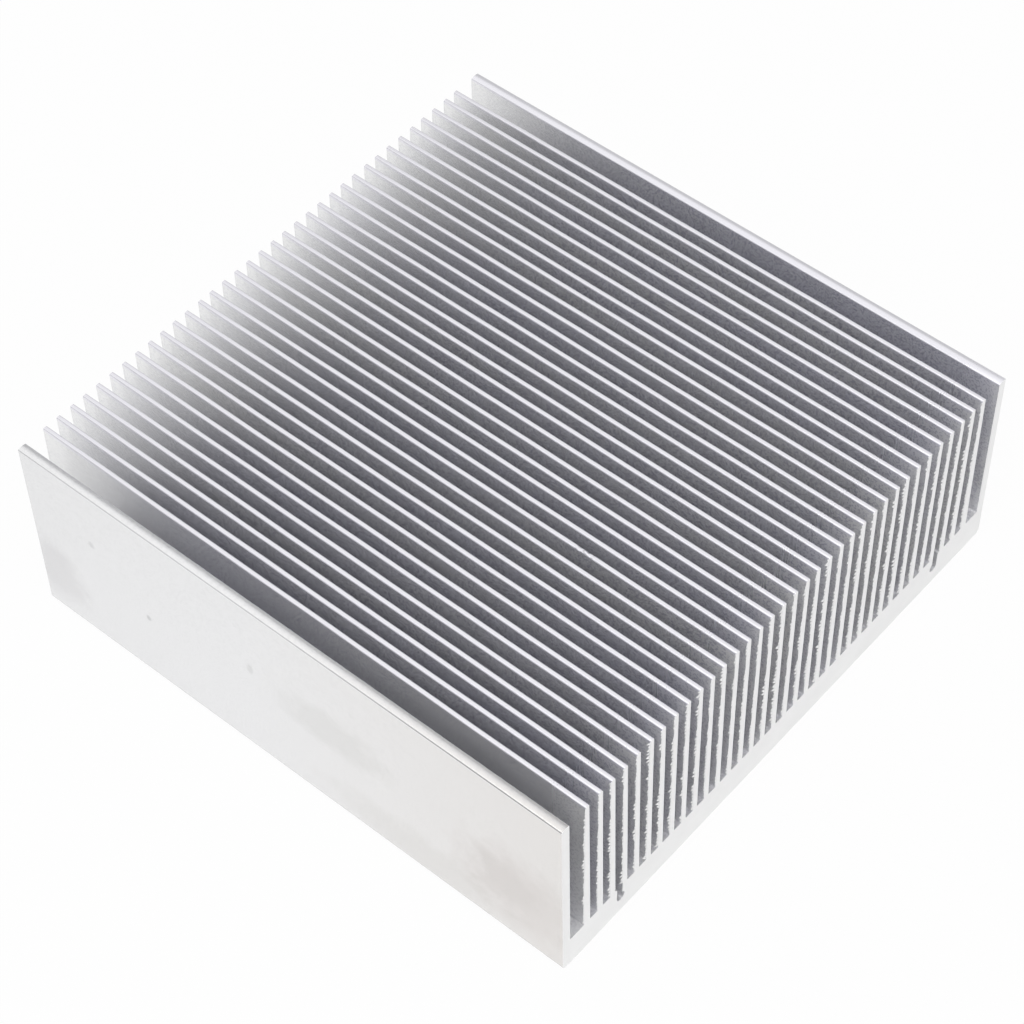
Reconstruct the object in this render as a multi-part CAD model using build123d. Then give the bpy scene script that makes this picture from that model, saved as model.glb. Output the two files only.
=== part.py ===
from build123d import *
from math import cos, radians, tan
import os

# Extruded aluminium heat sink: a flat base with a comb of thin fins between two thicker side walls.
# It is one piece, sawn from a long extrusion, so it is one section drawn once and pulled along Y.
# X runs across the fins, Y along them, and Z up from the base. The origin is the middle of the
# underside. All sizes are in millimetres.

# Overall sizes; the width follows from the fins, the gaps and the walls
LENGTH = 125.6
HEIGHT = 44.4
BASE_THICKNESS = 7.8
BASE_EDGE_RADIUS = 1.2

# Fins: one in the middle and the same number on each side of it
FINS_PER_SIDE = 17
FIN_GAP = 2.0
FIN_ROOT_THICKNESS = 1.26
FIN_TIP_THICKNESS = 0.95
FIN_TIP_RADIUS = 0.28
FIN_ROOT_RADIUS = 0.3

# The three fins next to each wall have stronger roots, listed from the wall inwards
STRONG_ROOT_THICKNESSES = (1.71, 1.46, 1.39)

# The fins fan out from the middle as the section leaves the die, the outer five more
TIP_FAN_PER_FIN = 0.025
OUTER_FINS = 5
OUTER_TIP_LEAN = 0.26

# Side walls
WALL_GAP = 3.67
WALL_THICKNESS = 2.0
WALL_TIP_LEAN = 0.34
WALL_CROWN_RADIUS = 2.2
WALL_CROWN_SLOPE = 22
WALL_INNER_EDGE_RADIUS = 0.25
WALL_ROOT_RADIUS = 0.4

# Screw channels: sunk in the base beside the fourth fin from each wall and reaching under its root
CHANNEL_FIN_FROM_WALL = 4
CHANNEL_DIAMETER = 2.1
CHANNEL_AXIS_HEIGHT = 4.5
CHANNEL_UNDERCUT = 0.6

# Tolerance for picking corners by their height
PICK = 0.01


def root_thickness(fin):
    """Thickness at the root of a fin, counted from the middle one, which is 0."""
    from_wall = FINS_PER_SIDE - fin
    if from_wall < len(STRONG_ROOT_THICKNESSES):
        return STRONG_ROOT_THICKNESSES[from_wall]
    return FIN_ROOT_THICKNESS


def root_faces():
    """Inner and outer face of every fin at the root, from the middle fin outwards."""
    outer = root_thickness(0) / 2
    faces = [(-outer, outer)]
    for fin in range(1, FINS_PER_SIDE + 1):
        inner = outer + FIN_GAP
        outer = inner + root_thickness(fin)
        faces.append((inner, outer))
    return faces


def tip_centre(fin):
    """Place of a fin's tip: an even pitch, a slow fan and the lean of the outer fins."""
    lean = OUTER_TIP_LEAN if fin > FINS_PER_SIDE - OUTER_FINS else 0
    return fin * (FIN_GAP + FIN_ROOT_THICKNESS + TIP_FAN_PER_FIN) + lean


FIN_ROOT_FACES = root_faces()
WALL_INNER_FACE = FIN_ROOT_FACES[-1][1] + WALL_GAP
WALL_OUTER_FACE = WALL_INNER_FACE + WALL_THICKNESS
WIDTH = 2 * WALL_OUTER_FACE

# A wall's top is a low ridge, rounded to a crown that just reaches the height of the fins
RIDGE_HEIGHT = HEIGHT + WALL_CROWN_RADIUS * (1 / cos(radians(WALL_CROWN_SLOPE)) - 1)
WALL_EDGE_HEIGHT = RIDGE_HEIGHT - WALL_THICKNESS / 2 * tan(radians(WALL_CROWN_SLOPE))
WALL_INNER_TIP = WALL_INNER_FACE + WALL_TIP_LEAN
WALL_OUTER_TIP = WALL_OUTER_FACE + WALL_TIP_LEAN
WALL_CREST = (WALL_INNER_TIP + WALL_OUTER_TIP) / 2

# A fin or a wall starts inside the base, so that the two fuse
ROOT_DEPTH = BASE_THICKNESS / 2


def outline(corners, side, mode=Mode.ADD):
    """Draw a closed outline given by its distances out and heights, on one side of the middle."""
    Polygon(*[(side * out, height) for out, height in corners], align=None, mode=mode)


def draw_fin(fin, side):
    """A tapered fin; its faces run straight from the root at the gap floor to the tip."""
    inner, outer = FIN_ROOT_FACES[fin]
    tip = tip_centre(fin)
    half_tip = FIN_TIP_THICKNESS / 2
    corners = [
        (inner, ROOT_DEPTH),
        (outer, ROOT_DEPTH),
        (outer, BASE_THICKNESS),
        (tip + half_tip, HEIGHT),
        (tip - half_tip, HEIGHT),
        (inner, BASE_THICKNESS),
    ]
    outline(corners, side)


def draw_wall(side):
    """A side wall: it leans out like the fins, and its top is the low ridge."""
    corners = [
        (WALL_INNER_FACE, ROOT_DEPTH),
        (WALL_OUTER_FACE, ROOT_DEPTH),
        (WALL_OUTER_FACE, BASE_THICKNESS),
        (WALL_OUTER_TIP, WALL_EDGE_HEIGHT),
        (WALL_CREST, RIDGE_HEIGHT),
        (WALL_INNER_TIP, WALL_EDGE_HEIGHT),
        (WALL_INNER_FACE, BASE_THICKNESS),
    ]
    outline(corners, side)


def cut_screw_channel(side):
    """A round channel along the base; its mouth runs up the face of the fin that it undercuts,
    past that fin's root radius."""
    beside_fin = FIN_ROOT_FACES[FINS_PER_SIDE + 1 - CHANNEL_FIN_FROM_WALL][1]
    centre = beside_fin - CHANNEL_UNDERCUT + CHANNEL_DIAMETER / 2
    far_side = centre + CHANNEL_DIAMETER / 2
    mouth_top = BASE_THICKNESS + FIN_ROOT_RADIUS
    with Locations((side * centre, CHANNEL_AXIS_HEIGHT)):
        Circle(CHANNEL_DIAMETER / 2, mode=Mode.SUBTRACT)
    mouth = [
        (beside_fin, CHANNEL_AXIS_HEIGHT),
        (far_side, CHANNEL_AXIS_HEIGHT),
        (far_side, mouth_top),
        (beside_fin, mouth_top),
    ]
    outline(mouth, side, mode=Mode.SUBTRACT)


def round_corners(section, height, distances, radius):
    """Round the section's corners at one height, on both sides, within a range of distances out."""
    nearest, farthest = distances
    corners = section.vertices().filter_by_position(Axis.Y, height - PICK, height + PICK)
    fillet(corners.filter_by(lambda v: nearest - PICK < abs(v.X) < farthest + PICK), radius)


def heat_sink():
    """The section, rounded corner by corner, and pulled to its length about the origin."""
    with BuildSketch(Plane.XZ.offset(-LENGTH / 2)) as section:
        with Locations((0, BASE_THICKNESS / 2)):
            Rectangle(WIDTH, BASE_THICKNESS)
        draw_fin(0, 1)
        for side in (-1, 1):
            draw_wall(side)
            for fin in range(1, FINS_PER_SIDE + 1):
                draw_fin(fin, side)

        outermost_fin = FIN_ROOT_FACES[-1][1]
        round_corners(section, 0, (0, WALL_OUTER_FACE), BASE_EDGE_RADIUS)
        round_corners(section, HEIGHT, (0, outermost_fin), FIN_TIP_RADIUS)
        round_corners(section, RIDGE_HEIGHT, (WALL_CREST, WALL_CREST), WALL_CROWN_RADIUS)
        round_corners(section, WALL_EDGE_HEIGHT, (WALL_INNER_TIP, WALL_INNER_TIP), WALL_INNER_EDGE_RADIUS)
        round_corners(section, BASE_THICKNESS, (0, outermost_fin), FIN_ROOT_RADIUS)
        round_corners(section, BASE_THICKNESS, (WALL_INNER_FACE, WALL_INNER_FACE), WALL_ROOT_RADIUS)

        for side in (-1, 1):
            cut_screw_channel(side)

    return extrude(section.sketch, amount=LENGTH)


os.makedirs("parts", exist_ok=True)
export_step(heat_sink(), "parts/heat_sink.step")
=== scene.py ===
from math import cos, pi, radians, tan

import bpy
import numpy as np
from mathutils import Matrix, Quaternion, Vector

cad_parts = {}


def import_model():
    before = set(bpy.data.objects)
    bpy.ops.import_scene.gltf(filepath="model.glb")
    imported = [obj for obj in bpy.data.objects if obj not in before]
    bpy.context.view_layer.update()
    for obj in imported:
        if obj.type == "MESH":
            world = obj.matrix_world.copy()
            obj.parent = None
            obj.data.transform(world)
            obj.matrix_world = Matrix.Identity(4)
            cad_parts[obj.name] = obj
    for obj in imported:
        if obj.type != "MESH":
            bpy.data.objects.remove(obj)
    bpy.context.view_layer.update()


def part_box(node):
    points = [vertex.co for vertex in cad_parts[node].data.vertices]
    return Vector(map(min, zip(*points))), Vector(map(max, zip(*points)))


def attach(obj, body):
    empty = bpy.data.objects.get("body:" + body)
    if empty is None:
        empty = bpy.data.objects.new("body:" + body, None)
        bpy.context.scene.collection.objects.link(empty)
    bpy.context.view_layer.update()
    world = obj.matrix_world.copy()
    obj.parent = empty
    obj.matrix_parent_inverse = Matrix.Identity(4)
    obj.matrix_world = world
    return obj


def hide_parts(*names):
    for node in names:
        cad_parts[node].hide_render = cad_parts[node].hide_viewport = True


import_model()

# Extruded aluminium heat sink: a flat base, a comb of thin fins and two thicker side walls.
# X runs across the fins, Y along them and Z up. Lengths in this script are in millimetres,
# and they turn to metres where a mesh, a lamp or the camera is made.

cad_low, cad_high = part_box("heat_sink")

MM = 0.001
LENGTH = (cad_high.y - cad_low.y) / MM
HEIGHT = cad_high.z / MM

# The section, as its die makes it
BASE_THICKNESS = 7.8
BASE_EDGE_RADIUS = 1.2
FINS_PER_SIDE = 17
FIN_GAP = 2.0
FIN_ROOT_THICKNESS = 1.26
FIN_TIP_THICKNESS = 0.95
FIN_TIP_RADIUS = 0.28
FIN_ROOT_RADIUS = 0.3
STRONG_ROOT_THICKNESSES = (1.71, 1.46, 1.39)
TIP_FAN_PER_FIN = 0.025
OUTER_FINS = 5
OUTER_TIP_LEAN = 0.26
WALL_GAP = 3.67
WALL_THICKNESS = 2.0
WALL_TIP_LEAN = 0.34
WALL_CROWN_RADIUS = 2.2
WALL_CROWN_SLOPE = 22
WALL_CREST_SHIFT = 0.12
WALL_CROWN_DEPTH = 0.6
WALL_INNER_EDGE_RADIUS = 0.25
WALL_ROOT_RADIUS = 0.4
WALL_EDGE_RADIUS = 0.1
WALL_FOOT_RADIUS = 60.0
CHANNEL_FIN_FROM_WALL = 4
CHANNEL_RADIUS = 1.05
CHANNEL_AXIS_HEIGHT = 4.5
CHANNEL_UNDERCUT = 0.6
CHANNEL_LIP_RADIUS = 0.08

# How finely the mesh follows the section and the length
ARC_STEPS = 4
FACE_STEPS = 4
LONG_FACE = 3.0
STATIONS = 57

# How far the fins stray at their tips: spread and greatest size of the offset, slant and wave
TIP_OFFSET = 0.065
TIP_OFFSET_LIMIT = 0.13
TIP_SLANT = 0.04
TIP_WAVE = 0.02

# The dent in the crest of one fin
DENTED_FIN = 12
DENT_START, DENT_END = -31.4, -27.4
DENT_STATIONS = 13
DENT_DEPTH = 0.45
DENT_REACH = 0.3

# The burrs that the saw left. They start just above the gap floor and end just below the tips,
# they are rooted inside the fin, and they bend back by a share of their width.
BURR_STEP = 0.52
BURR_JITTER = 0.35
BURR_FLOOR_CLEARANCE, BURR_TIP_CLEARANCE = 0.4, 0.3
BURR_THICKNESS = 0.06
BURR_WIDTH = 0.5
BURR_ROOT = 0.1
BURR_BEND = 0.3

# The camera, fitted to the photograph
CAMERA_PLACE = (-260.97, -227.13, 450.17)
CAMERA_AIM = (-4.31, -2.48, 22.2)
CAMERA_ROLL = -1.216
CAMERA_LENS = 104.6

FIN_COUNT = 2 * FINS_PER_SIDE + 1
FIN_PITCH = FIN_GAP + FIN_ROOT_THICKNESS + TIP_FAN_PER_FIN
chance = np.random.default_rng(35)


def root_faces():
    """Left and right face of every fin at the gap floor, from the left wall to the right one:
    a fin starts where the last one ended plus the gap, and the row is centred on X = 0."""
    thickness = np.full(FIN_COUNT, FIN_ROOT_THICKNESS)
    strong = len(STRONG_ROOT_THICKNESSES)
    thickness[:strong] = STRONG_ROOT_THICKNESSES
    thickness[-strong:] = STRONG_ROOT_THICKNESSES[::-1]
    left = np.cumsum(thickness + FIN_GAP) - thickness - FIN_GAP
    left -= (left[-1] + thickness[-1]) / 2
    return left, left + thickness


def tip_centres():
    """Place of every fin's tip: an even pitch, a slow fan and the lean of the outer fins."""
    number = np.arange(FIN_COUNT) - FINS_PER_SIDE
    leaning = np.abs(number) > FINS_PER_SIDE - OUTER_FINS
    return number * FIN_PITCH + np.sign(number) * leaning * OUTER_TIP_LEAN


ROOT_LEFT, ROOT_RIGHT = root_faces()
TIP_CENTRES = tip_centres()
WALL_INNER_FACE = ROOT_RIGHT[-1] + WALL_GAP
WALL_OUTER_FACE = WALL_INNER_FACE + WALL_THICKNESS

STRAY_OFFSETS = chance.normal(0, TIP_OFFSET, FIN_COUNT).clip(-TIP_OFFSET_LIMIT, TIP_OFFSET_LIMIT)
STRAY_SLANTS = chance.normal(0, TIP_SLANT, FIN_COUNT)
WAVE_PHASES = chance.uniform(0, 2 * pi, (2, FIN_COUNT))


def fin_stray(fin, along, up):
    """How far a fin stands off sideways: its own offset + slant x y + two slow sine waves along y,
    all times the share of its height raised to the power 1.5."""
    share = np.clip((up - BASE_THICKNESS) / (HEIGHT - BASE_THICKNESS), 0, 1) ** 1.5
    turn = 2 * pi * along / LENGTH
    wave = np.sin(2 * turn + WAVE_PHASES[0, fin]) + np.sin(5 * turn + WAVE_PHASES[1, fin])
    slant = STRAY_SLANTS[fin] * 2 * along / LENGTH
    return share * (STRAY_OFFSETS[fin] + slant + TIP_WAVE * wave)


def fin_corners():
    """The four corners of each fin, (fin, corner, xz): left root, left tip, right tip, right root."""
    half_tip = FIN_TIP_THICKNESS / 2
    across = np.stack([ROOT_LEFT, TIP_CENTRES - half_tip, TIP_CENTRES + half_tip, ROOT_RIGHT], axis=1)
    up = np.broadcast_to([BASE_THICKNESS, HEIGHT, HEIGHT, BASE_THICKNESS], across.shape)
    return np.stack([across, up], axis=2)


FIN_RADII = np.array([FIN_ROOT_RADIUS, FIN_TIP_RADIUS, FIN_TIP_RADIUS, FIN_ROOT_RADIUS])


def left_wall_corners():
    """Corners and radii of the left wall, from the underside up its outer face and down inside. Its
    top is a low ridge, rounded to a crown that just reaches the height of the fins."""
    inner, outer, lean = -WALL_INNER_FACE, -WALL_OUTER_FACE, -WALL_TIP_LEAN
    slope = radians(WALL_CROWN_SLOPE)
    ridge = HEIGHT + WALL_CROWN_RADIUS * (1 / cos(slope) - 1)
    edge = ridge - WALL_THICKNESS / 2 * tan(slope)
    corners = [
        (outer, 0.0, BASE_EDGE_RADIUS),
        (outer, BASE_THICKNESS, WALL_FOOT_RADIUS),
        (outer + lean, edge, WALL_EDGE_RADIUS),
        ((inner + outer) / 2 + lean - WALL_CREST_SHIFT, ridge, WALL_CROWN_RADIUS),
        (inner + lean, edge, WALL_INNER_EDGE_RADIUS),
        (inner, BASE_THICKNESS, WALL_ROOT_RADIUS),
    ]
    return np.array(corners)


def rounded(corners, radii, before, after):
    """Round a chain of corners. Each arc runs from one tangent point to the other, and turns evenly:
    with a and b the spokes to the tangent points and t the angle between them, a point is
    centre + (a sin((1-s)t) + b sin(st)) / sin t, and its tangent is that formula's slope in s."""
    back = np.vstack([before, corners[:-1]]) - corners
    ahead = np.vstack([corners[1:], after]) - corners
    back /= np.linalg.norm(back, axis=1, keepdims=True)
    ahead /= np.linalg.norm(ahead, axis=1, keepdims=True)
    half = np.arccos(np.clip((back * ahead).sum(1), -1, 1)) / 2
    bisector = (back + ahead) / np.linalg.norm(back + ahead, axis=1, keepdims=True)
    centre = corners + bisector * (radii / np.sin(half))[:, None]
    reach = (radii / np.tan(half))[:, None]
    spoke_a, spoke_b = corners + back * reach - centre, corners + ahead * reach - centre
    turn = (pi - 2 * half)[:, None, None]
    s = np.linspace(0, 1, ARC_STEPS + 1)[None, :, None]
    a, b = spoke_a[:, None, :], spoke_b[:, None, :]
    points = centre[:, None, :] + (a * np.sin((1 - s) * turn) + b * np.sin(s * turn)) / np.sin(turn)
    slopes = b * np.cos(s * turn) - a * np.cos((1 - s) * turn)
    slopes /= np.linalg.norm(slopes, axis=2, keepdims=True)
    return np.concatenate([points, slopes], axis=2).reshape(-1, 4)


def left_channel():
    """The left screw channel, from its lip on the gap floor, down and round its circle, to where
    it meets the face of the fin beside it: a point is centre + radius (cos a, sin a)."""
    fin_face = ROOT_LEFT[CHANNEL_FIN_FROM_WALL - 1]
    centre = fin_face + CHANNEL_UNDERCUT - CHANNEL_RADIUS
    far_side = centre - CHANNEL_RADIUS
    lip = np.array([[far_side, BASE_THICKNESS]])
    lip = rounded(lip, np.array([CHANNEL_LIP_RADIUS]), (far_side - 1, BASE_THICKNESS), (far_side, 0))
    end = np.arccos((fin_face - centre) / CHANNEL_RADIUS)
    angle = np.linspace(-pi, end - radians(4), 6 * ARC_STEPS)
    ring = np.stack([np.cos(angle), np.sin(angle)], axis=1)
    points = (centre, CHANNEL_AXIS_HEIGHT) + CHANNEL_RADIUS * ring
    slopes = np.stack([-np.sin(angle), np.cos(angle)], axis=1)
    top = points[-1, 1] + CHANNEL_LIP_RADIUS
    face = [(fin_face, top, 0, 1), (fin_face, BASE_THICKNESS, 0, 1)]
    return np.vstack([lip, np.hstack([points, slopes]), face])


def mirrored(part):
    """The same stretch of outline on the other side of X = 0, still running from left to right."""
    return part[::-1] * (-1, 1, 1, -1)


def outline():
    """The closed section as rows of (x, z, slope x, slope z), clockwise from the lower left edge.
    It is rounded corners, with the two screw channels let in between them."""
    wall = left_wall_corners()
    fins = fin_corners()
    near = CHANNEL_FIN_FROM_WALL - 1
    corners = np.vstack([wall[:, :2], fins[:near].reshape(-1, 2)])
    radii = np.concatenate([wall[:, 2], np.tile(FIN_RADII, near)])
    start = (WALL_OUTER_FACE, 0.0)
    left = rounded(corners, radii, start, corners[-1] + (1, 0))
    middle = fins[near:-near].reshape(-1, 2)[1:-1]
    radii = np.tile(FIN_RADII, FIN_COUNT - 2 * near)[1:-1]
    middle = rounded(middle, radii, fins[near, 0], fins[-near - 1, 3])
    channel = left_channel()
    return np.vstack([left, channel, middle, mirrored(channel), mirrored(left)])


def with_face_rows(part):
    """Divide each long straight face of the outline evenly, so that it can bend along its height."""
    ahead = np.roll(part[:, :2], -1, axis=0) - part[:, :2]
    size = np.linalg.norm(ahead, axis=1)
    pieces = np.where(size > LONG_FACE, FACE_STEPS, 1)
    first = np.repeat(np.cumsum(pieces) - pieces, pieces)
    step = np.arange(pieces.sum()) - first
    start, ahead, size = (np.repeat(a, pieces, axis=0) for a in (part, ahead, size))
    share = (step / np.repeat(pieces, pieces))[:, None]
    places = start[:, :2] + ahead * share
    slopes = np.where(step[:, None] > 0, ahead / size[:, None], start[:, 2:])
    return np.hstack([places, slopes])


def make_mesh(name, points, faces, loop_normals):
    """A mesh from arrays in millimetres: a list of whole face arrays, one row of corners a face. It
    is flat shaded where no normals are given."""
    mesh = bpy.data.meshes.new(name)
    corners = np.concatenate([f.ravel() for f in faces])
    sizes = np.concatenate([np.full(len(f), f.shape[1]) for f in faces])
    mesh.vertices.add(len(points))
    mesh.vertices.foreach_set("co", (points * MM).ravel())
    mesh.loops.add(len(corners))
    mesh.loops.foreach_set("vertex_index", corners)
    mesh.polygons.add(len(sizes))
    mesh.polygons.foreach_set("loop_start", np.cumsum(sizes) - sizes)
    mesh.update(calc_edges=True)
    if loop_normals is not None:
        mesh.polygons.foreach_set("use_smooth", np.ones(len(sizes), bool))
        mesh.normals_split_custom_set(loop_normals)
    piece = bpy.data.objects.new(name, mesh)
    bpy.context.scene.collection.objects.link(piece)
    return piece


def dent(fin, across, along, up):
    """Sideways and downward shift of the crest where one fin took a knock: a random size at each
    station inside the dent, growing from 0 to 1 over its reach, and sideways only left of the crest."""
    inside = (fin == DENTED_FIN) & (along > DENT_START) & (along < DENT_END)
    share = inside * np.clip((up - HEIGHT + DENT_REACH) / DENT_REACH, 0, 1)
    ragged = chance.uniform(0, 1, (2, len(along), 1))
    left = across < TIP_CENTRES[DENTED_FIN]
    return share * DENT_DEPTH * ragged[0] * left, share * DENT_DEPTH * ragged[1]


def extruded_body(drawn, handled, sawn):
    """The section carried along Y. A point is (x + stray + knock, y, z - sunk), with the stray of its
    fin, and with the knock and the sinking of the dent where there is one. The underside, the walls'
    outer faces and the left wall's top are handled, the ends are sawn and the rest is as drawn."""
    section = with_face_rows(outline())
    even = np.linspace(-LENGTH / 2, LENGTH / 2, STATIONS)
    stations = np.unique(np.concatenate([even, np.linspace(DENT_START, DENT_END, DENT_STATIONS)]))
    count, lengths = len(section), len(stations)
    fin = np.rint(section[:, 0] / FIN_PITCH).astype(int) + FINS_PER_SIDE
    fin = fin.clip(0, FIN_COUNT - 1)
    is_fin = np.abs(section[:, 0]) < ROOT_RIGHT[-1] + WALL_GAP / 2
    up = np.broadcast_to(section[:, 1], (lengths, count))
    along = np.broadcast_to(stations[:, None], (lengths, count))
    stray = np.where(is_fin, fin_stray(fin, along, up), 0)
    knock, sunk = dent(fin, section[:, 0], along, up)
    points = np.stack([section[:, 0] + stray + knock, along, up - sunk], axis=2).reshape(-1, 3)
    normals = np.stack([-section[:, 3], np.zeros(count), section[:, 2]], axis=1)
    normals = np.broadcast_to(normals, (lengths, count, 3)).reshape(-1, 3)

    here = np.arange(count)
    ahead = np.roll(here, -1)
    row = (np.arange(lengths - 1) * count)[:, None]
    sides = np.stack([row + here, row + ahead, row + ahead + count, row + here + count], axis=2)
    sides = sides.reshape(-1, 4)
    front = here[None, ::-1]
    back = (here + (lengths - 1) * count)[None, :]
    loop_normals = np.vstack([
        normals[sides.ravel()],
        np.tile((0.0, -1.0, 0.0), (count, 1)),
        np.tile((0.0, 1.0, 0.0), (count, 1)),
    ])
    made = make_mesh("extruded_body", points, [sides, front, back], loop_normals)
    for material in (drawn, handled, sawn):
        made.data.materials.append(material)
    middle = (section[:, :2] + section[ahead, :2]) / 2
    outside = WALL_INNER_FACE + WALL_TIP_LEAN + WALL_INNER_EDGE_RADIUS / 2
    right_top = (middle[:, 0] > 0) & (middle[:, 1] > HEIGHT - WALL_CROWN_DEPTH)
    touched = (np.abs(middle[:, 0]) > outside) & ~right_top | (middle[:, 1] < BASE_EDGE_RADIUS)
    kinds = np.concatenate([np.tile(touched.astype(np.int32), lengths - 1), [2, 2]])
    made.data.polygons.foreach_set("material_index", kinds)
    return made


def saw_burrs(sawn):
    """Ragged slivers that the saw pushed over the left edge of every fin at the front end, bent back
    a little. Each is a flat tube, rooted inside the fin. Its free edge stands off by burr width x
    strength x slow noise x tooth, where the tooth is long in every second row and short between."""
    lowest, highest = BASE_THICKNESS + BURR_FLOOR_CLEARANCE, HEIGHT - BURR_TIP_CLEARANCE
    heights = np.arange(lowest, highest, BURR_STEP)
    fins, rows = np.meshgrid(np.arange(FIN_COUNT), heights, indexing="ij")
    rows = rows + chance.uniform(-BURR_JITTER, BURR_JITTER, rows.shape) * BURR_STEP
    left_tip = TIP_CENTRES - FIN_TIP_THICKNESS / 2
    share = (rows - BASE_THICKNESS) / (HEIGHT - BASE_THICKNESS)
    face = ROOT_LEFT[:, None] * (1 - share) + left_tip[:, None] * share
    face = face + fin_stray(fins, -LENGTH / 2, rows)
    rough = chance.uniform(0, 1, (2, FIN_COUNT, len(heights)))
    slow = sum(np.roll(rough[0], shift, axis=1) for shift in range(5)) / 5
    slow = np.clip(3.2 * slow - 0.6, 0.3, 1.4)
    tooth = np.where(np.arange(len(heights)) % 2, 0.5 + 0.8 * rough[1], 0.3 * rough[1])
    strength = chance.uniform(0.6, 1.1, (FIN_COUNT, 1))
    width = BURR_WIDTH * strength * slow * tooth
    edge = face - width
    front = np.full_like(face, -LENGTH / 2)
    root = face + BURR_ROOT
    bent = front + BURR_BEND * width
    ring = [(root, front), (edge, bent), (edge, bent + BURR_THICKNESS), (root, front + BURR_THICKNESS)]
    points = np.stack([np.stack([x, y, rows], axis=2) for x, y in ring], axis=2).reshape(-1, 3)

    count = len(heights)
    start = (np.arange(FIN_COUNT)[:, None, None] * count + np.arange(count - 1)[None, :, None]) * 4
    corner = np.arange(4)[None, None, :]
    after = (corner + 1) % 4
    sides = np.stack([start + corner, start + corner + 4, start + after + 4, start + after], axis=3)
    sides = sides.reshape(-1, 4)
    low = np.arange(FIN_COUNT)[:, None] * count * 4 + np.arange(4)
    high = low[:, ::-1] + (count - 1) * 4
    faces = np.vstack([sides, low, high])
    made = make_mesh("saw_burrs", points, [faces], None)
    made.data.materials.append(sawn)
    return made


def linear(code):
    """A hex sRGB colour as linear RGBA."""
    parts = np.array([int(code[i:i + 2], 16) for i in (1, 3, 5)]) / 255
    low, high = parts / 12.92, ((parts + 0.055) / 1.055) ** 2.4
    return (*np.where(parts <= 0.04045, low, high), 1.0)


def node(tree, kind, links=None, **settings):
    """Add a node: settings are its properties, and links maps an input to a value or a socket."""
    made = tree.nodes.new(kind)
    for name, value in settings.items():
        setattr(made, name, value)
    for name, value in (links or {}).items():
        if isinstance(value, bpy.types.NodeSocket):
            tree.links.new(value, made.inputs[name])
        else:
            made.inputs[name].default_value = value
    return made


def new_material(name):
    material = bpy.data.materials.new(name)
    material.use_nodes = True
    material.node_tree.nodes.clear()
    return material, material.node_tree


def soft_noise(tree, place, cell, detail):
    """Noise between 0 and 1, whose cells have the given size in millimetres along X, Y and Z."""
    cells = [1 / (size * MM) for size in cell]
    counted = node(tree, "ShaderNodeVectorMath", {0: place, 1: cells}, operation="MULTIPLY")
    made = node(tree, "ShaderNodeTexNoise", {"Vector": counted.outputs[0], "Scale": 1.0, "Detail": detail})
    return made.outputs[0]


def shaded(tree, colour, tint, value, low, high, strength=1.0):
    """The colour on its way to a tint: not at all where the value is low, and by the full strength
    where it is high. The strength may be a socket."""
    share = node(tree, "ShaderNodeMapRange", {
        "Value": value, "From Min": low, "From Max": high, "To Min": 0.0, "To Max": strength,
    })
    # Inputs 6 and 7 and output 2 of a Mix node are its colours
    mixed = node(tree, "ShaderNodeMix", {0: share.outputs[0], 6: colour, 7: linear(tint)}, data_type="RGBA")
    return mixed.outputs[2]


# Mill finish: how metallic and rough it is, the size of its pits in millimetres, which is coarser
# than real so that they show, and the range of the noise that makes them
MILL_METALLIC = 0.84
MILL_ROUGHNESS = 0.24
PIT_CELL = (0.45, 0.5, 0.45)
PIT_RANGE = (0.52, 0.58)

# Marks on the left side wall: name, place along Y and Z, radii, colour and strength. Their depth is
# how far they would reach from the wall's outer face.
MARK_DEPTH = 50.0
SIDE_MARKS = [
    ("wide brown stain by the front edge", (-54.0, 15.0), (16.0, 13.0), "#B8A8A2", 0.16),
    ("dark middle of that stain", (-50.0, 16.5), (9.0, 7.0), "#B0A4A0", 0.12),
    ("grey rub in the middle", (-11.0, 23.5), (14.0, 6.5), "#B4B4AE", 0.15),
    ("smear low down", (-30.0, 6.0), (24.0, 6.0), "#BDBBB2", 0.12),
    ("thumb mark at the back edge", (58.5, 12.5), (8.0, 9.5), "#A8A2A6", 0.17),
    ("speck", (34.3, 18.3), (0.7, 0.9), "#9C9CA0", 0.3),
    ("higher speck", (47.0, 29.4), (0.9, 1.1), "#9C9CA0", 0.2),
    ("faint speck", (8.2, 26.0), (0.8, 1.6), "#A6A6A6", 0.18),
]


def side_marks(tree, place, colour):
    """Soft marks on the outer face of the left wall: each fades out at its radii, with a ragged rim.
    The distance from that face counts too, so that the right wall stays clean."""
    ragged = soft_noise(tree, place, (4, 4, 4), 5)
    for name, (along, up), radii, tint, strength in SIDE_MARKS:
        centre = (cad_low.x, along * MM, up * MM)
        per_radius = (1 / (MARK_DEPTH * MM), 1 / (radii[0] * MM), 1 / (radii[1] * MM))
        moved = node(tree, "ShaderNodeVectorMath", {0: place, 1: centre}, operation="SUBTRACT")
        scaled = node(tree, "ShaderNodeVectorMath", {0: moved.outputs[0], 1: per_radius},
                      operation="MULTIPLY")
        reach = node(tree, "ShaderNodeVectorMath", {0: scaled.outputs[0]}, operation="LENGTH")
        rim = node(tree, "ShaderNodeMath", {0: ragged, 1: reach.outputs["Value"]}, operation="ADD")
        rim.label = name
        colour = shaded(tree, colour, tint, rim.outputs[0], 1.6, 1.0, strength)
    return colour


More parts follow.
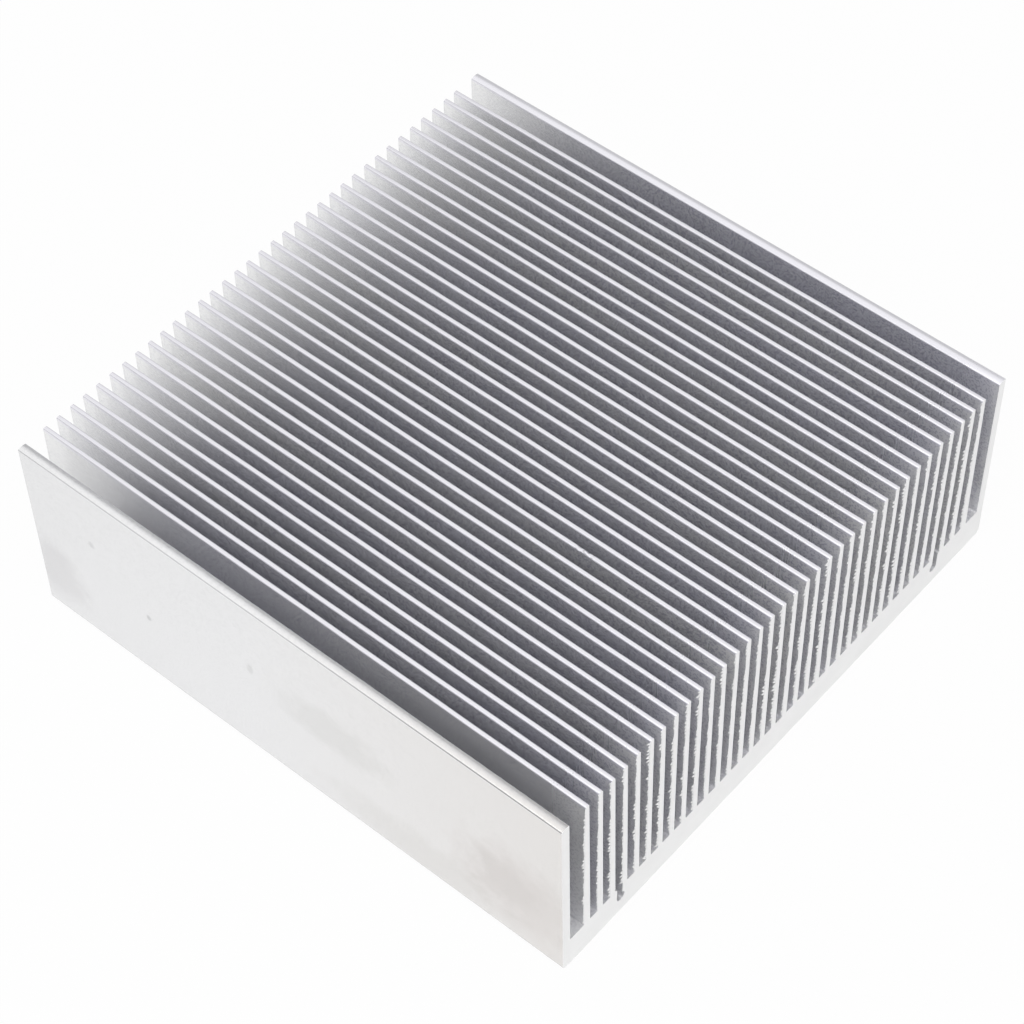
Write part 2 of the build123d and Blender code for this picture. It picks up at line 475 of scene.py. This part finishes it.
def wall_top_painted_shade(tree, place, colour):
    """On top of the left wall, painted shade: a thin dark line along its outer edge, standing in for the
    dark reflection on that rounded edge, strongest near the front, and a grey band of painted shade on
    the side that falls off inwards, made grainy like dull metal. Both are on the crown only."""
    across, along, up = node(tree, "ShaderNodeSeparateXYZ", {0: place}).outputs
    front = node(tree, "ShaderNodeMapRange", {
        "Value": along, "From Min": -45 * MM, "From Max": 0.0, "To Min": 0.75, "To Max": 0.3,
    })
    line = node(tree, "ShaderNodeMapRange", {
        "Value": up, "From Min": 44.0 * MM, "From Max": 44.1 * MM, "To Max": front.outputs[0],
    })
    # Painted shade: a dark line on the rounded outer edge of the wall's top, in place of its dark
    # reflection
    colour = shaded(tree, colour, "#77777C", across, -62.68 * MM, -62.74 * MM, line.outputs[0])

    left = node(tree, "ShaderNodeMapRange", {
        "Value": across, "From Min": -10 * MM, "From Max": 10 * MM, "To Min": 1.0, "To Max": 0.0,
    })
    grain = node(tree, "ShaderNodeMapRange", {
        "Value": soft_noise(tree, place, (0.3, 0.6, 1), 4),
        "From Min": 0.3, "From Max": 0.7, "To Min": 0.2, "To Max": 0.55,
    })
    band = node(tree, "ShaderNodeMath", {0: left.outputs[0], 1: grain.outputs[0]}, operation="MULTIPLY")
    band = node(tree, "ShaderNodeMapRange", {
        "Value": up, "From Min": 44.0 * MM, "From Max": 44.1 * MM, "To Max": band.outputs[0],
    })
    # Painted shade on the inner slope of the wall's crown, made grainy like dull metal
    return shaded(tree, colour, "#C2C2C8", across, -62.2 * MM, -61.5 * MM, band.outputs[0])


def handled_mill_finish():
    """Bare aluminium from the die, on the faces that hands and benches touch. The die draws fine lines
    along the length, which spread the light a little, and the metal has a sandy grain of faint dark
    pits. It is painted darker and warmer towards the front, as painted shade, and hands left dull
    stains on it."""
    material, tree = new_material("handled_mill_finish_aluminium")
    place = node(tree, "ShaderNodeTexCoord").outputs["Object"]
    along = node(tree, "ShaderNodeSeparateXYZ", {0: place}).outputs[1]
    pits = soft_noise(tree, place, PIT_CELL, 2)
    colour = shaded(tree, linear("#F6F6F7"), "#F2F2F3", pits, *PIT_RANGE)
    # Painted shade: darker and warmer towards the front
    colour = shaded(tree, colour, "#EAE4DE", along, 10 * MM, -70 * MM, 0.5)
    colour = side_marks(tree, place, colour)
    colour = wall_top_painted_shade(tree, place, colour)
    die_lines = soft_noise(tree, place, (0.4, 200, 0.4), 3)
    bump = node(tree, "ShaderNodeBump", {"Height": die_lines, "Strength": 0.3, "Distance": 0.003 * MM})
    shader = node(tree, "ShaderNodeBsdfPrincipled", {
        "Base Color": colour, "Metallic": MILL_METALLIC, "Roughness": MILL_ROUGHNESS,
        "Normal": bump.outputs[0],
    })
    node(tree, "ShaderNodeOutputMaterial", {"Surface": shader.outputs[0]})
    return material


def mill_finish():
    """Bare aluminium from the die, on the fins and in the gaps. A thin film turns from grey to bluish
    from fin to fin, and dark pits give it a sandy grain. Both are faint at the bright rear. The metal
    is more neutral at both ends, and a little darker and yellower beside the left wall. The tips are
    a little bluish, and deep in the gaps the metal is painted darker, as painted shade. Close to the
    saw cut the metal is dragged into upright streaks that are rougher than the rest."""
    material, tree = new_material("mill_finish_aluminium")
    place = node(tree, "ShaderNodeTexCoord").outputs["Object"]
    across, along, up = node(tree, "ShaderNodeSeparateXYZ", {0: place}).outputs
    fade = node(tree, "ShaderNodeMapRange", {
        "Value": along, "From Min": 20 * MM, "From Max": 50 * MM, "To Min": 1.0, "To Max": 0.3,
    })
    film = soft_noise(tree, place, (5, 90, 40), 0)
    pits = soft_noise(tree, place, PIT_CELL, 2)
    colour = shaded(tree, linear("#FEFEFF"), "#FBFBFF", film, 0.35, 0.65, fade.outputs[0])
    colour = shaded(tree, colour, "#DCDCE3", pits, *PIT_RANGE, fade.outputs[0])
    colour = shaded(tree, colour, "#FCFCF8", along, -59.5 * MM, -62.8 * MM, 0.4)
    colour = shaded(tree, colour, "#FCFCF8", along, 35 * MM, 52 * MM, 0.18)
    # Darker and a little yellower beside the left wall, most towards the front
    left_wall_darkening = node(tree, "ShaderNodeMapRange", {
        "Value": along, "From Min": -40 * MM, "From Max": 30 * MM, "To Min": 0.4, "To Max": 0.1,
    })
    colour = shaded(tree, colour, "#F0F0ED", across, -56.2 * MM, -56.4 * MM, left_wall_darkening.outputs[0])
    colour = shaded(tree, colour, "#F7F6FC", up, 43.6 * MM, 44.0 * MM)
    # Painted shade: darker deep in the gaps, towards the gap floor
    colour = shaded(tree, colour, "#DCDCE0", up, 18 * MM, 7 * MM, 0.4)
    streaks = soft_noise(tree, place, (0.5, 0.35, 12), 0)
    dragged = node(tree, "ShaderNodeMapRange", {
        "Value": along, "From Min": -54.0 * MM, "From Max": -62.8 * MM, "To Max": streaks,
    })
    roughness = node(tree, "ShaderNodeMapRange", {
        "Value": dragged.outputs[0], "From Max": 0.6, "To Min": MILL_ROUGHNESS, "To Max": 0.44,
    })
    shader = node(tree, "ShaderNodeBsdfPrincipled", {
        "Base Color": colour, "Metallic": MILL_METALLIC, "Roughness": roughness.outputs[0],
    })
    node(tree, "ShaderNodeOutputMaterial", {"Surface": shader.outputs[0]})
    return material


def saw_cut():
    """Freshly sawn aluminium: brighter and flatter than the drawn faces, with fine scratches left
    across the section by the blade."""
    material, tree = new_material("saw_cut_aluminium")
    place = node(tree, "ShaderNodeTexCoord").outputs["Object"]
    patches = soft_noise(tree, place, (6, 1, 4), 3)
    scratches = soft_noise(tree, place, (25, 1, 0.3), 3)
    bump = node(tree, "ShaderNodeBump", {"Height": scratches, "Strength": 0.5, "Distance": 0.01 * MM})
    shader = node(tree, "ShaderNodeBsdfPrincipled", {
        "Base Color": shaded(tree, linear("#FCFCFC"), "#FFFFFF", patches, 0.3, 0.7),
        "Metallic": 0.75, "Roughness": 0.45, "Normal": bump.outputs[0],
    })
    node(tree, "ShaderNodeOutputMaterial", {"Surface": shader.outputs[0]})
    return material


def white_floor():
    """A pale card that keeps the part's shadow. The camera sees it nearly white, and so, half way,
    does the metal."""
    material, tree = new_material("white_floor")
    path = node(tree, "ShaderNodeLightPath")
    seen = node(tree, "ShaderNodeMath", {0: path.outputs["Is Camera Ray"], 1: 0.97}, operation="MULTIPLY")
    shiny = node(tree, "ShaderNodeMath", {0: path.outputs["Is Glossy Ray"], 1: 0.53}, operation="MULTIPLY")
    share = node(tree, "ShaderNodeMath", {0: seen.outputs[0], 1: shiny.outputs[0]}, operation="MAXIMUM")
    card = node(tree, "ShaderNodeBsdfDiffuse", {"Color": linear("#C8C8C8")})
    glow = node(tree, "ShaderNodeEmission", {"Color": (1, 1, 1, 1), "Strength": 1.0})
    mixed = node(tree, "ShaderNodeMixShader", {0: share.outputs[0], 1: card.outputs[0], 2: glow.outputs[0]})
    node(tree, "ShaderNodeOutputMaterial", {"Surface": mixed.outputs[0]})
    return material


def floor():
    points = np.array([(-1, -1, 0), (1, -1, 0), (1, 1, 0), (-1, 1, 0)]) * 4000.0
    faces = [np.array([[0, 1, 2, 3]])]
    made = make_mesh("floor", points, faces, np.tile((0.0, 0.0, 1.0), (4, 1)))
    made.data.materials.append(white_floor())


def world():
    """An even white sky, dimmer towards the horizon."""
    scene = bpy.context.scene
    scene.world = bpy.data.worlds.new("studio")
    scene.world.use_nodes = True
    tree = scene.world.node_tree
    tree.nodes.clear()
    direction = node(tree, "ShaderNodeTexCoord")
    height = node(tree, "ShaderNodeSeparateXYZ", {0: direction.outputs["Generated"]})
    level = node(tree, "ShaderNodeMapRange", {
        "Value": height.outputs["Z"], "From Min": 0.55, "From Max": 0.8, "To Min": 0.5, "To Max": 0.86,
    }, interpolation_type="SMOOTHSTEP")
    sky = node(tree, "ShaderNodeBackground", {"Color": linear("#FFFFFF"), "Strength": level.outputs[0]})
    node(tree, "ShaderNodeOutputWorld", {"Surface": sky.outputs[0]})


def softbox(name, place, aim, size, strength):
    """A square area lamp, whose strength is the radiance of its face: power = radiance x pi x area."""
    data = bpy.data.lights.new(name, "AREA")
    data.shape, data.size = "SQUARE", size * MM
    data.energy = strength * pi * (size * MM) ** 2
    made = bpy.data.objects.new(name, data)
    bpy.context.scene.collection.objects.link(made)
    made.location = Vector(place) * MM
    look = Vector(aim) - Vector(place)
    made.rotation_mode = "QUATERNION"
    made.rotation_quaternion = look.to_track_quat("-Z", "Y")


def camera():
    data = bpy.data.cameras.new("camera")
    data.sensor_width = 36
    data.lens = CAMERA_LENS
    data.clip_start, data.clip_end = 0.01, 50.0
    made = bpy.data.objects.new("camera", data)
    bpy.context.scene.collection.objects.link(made)
    made.location = Vector(CAMERA_PLACE) * MM
    look = Vector(CAMERA_AIM) - Vector(CAMERA_PLACE)
    made.rotation_mode = "QUATERNION"
    made.rotation_quaternion = look.to_track_quat("-Z", "Y") @ Quaternion((0, 0, 1), radians(CAMERA_ROLL))
    bpy.context.scene.camera = made


sawn = saw_cut()
drawn, handled = mill_finish(), handled_mill_finish()
for piece in (extruded_body(drawn, handled, sawn), saw_burrs(sawn)):
    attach(piece, "root")
    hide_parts("heat_sink")
floor()
world()
softbox("window", (-540, -330, 1000), (0, 0, 0), 1000, 3.4)
camera()
bpy.context.scene.view_settings.view_transform = "Standard"
cycles = bpy.context.scene.cycles
cycles.max_bounces = 24
cycles.glossy_bounces = 24
cycles.diffuse_bounces = 8
